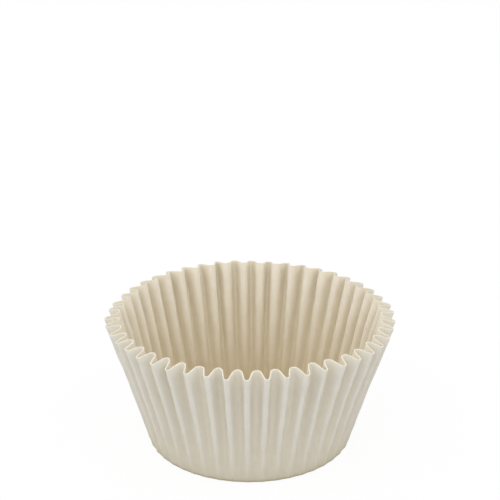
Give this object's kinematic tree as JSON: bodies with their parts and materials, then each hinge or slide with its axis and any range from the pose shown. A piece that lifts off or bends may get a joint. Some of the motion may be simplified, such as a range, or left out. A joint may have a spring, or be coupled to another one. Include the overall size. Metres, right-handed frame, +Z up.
{
  "type": "cupcake liner",
  "caption": "Pleated paper baking cup with a flat round base and a flared wall whose pleats deepen towards an open, scalloped rim.",
  "frame": {"origin": "centre of the base's underside, on the surface that the liner stands on", "axes": "+Z up along the cup's axis, out of its mouth; an outer fold of the wall lies at -Y"},
  "size_m": [0.0706, 0.0708, 0.0334],
  "materials": {
    "paper": "matt unbleached baking paper"
  },
  "bodies": {
    "root": {"liner": "paper"}
  },
  "joints": []
}
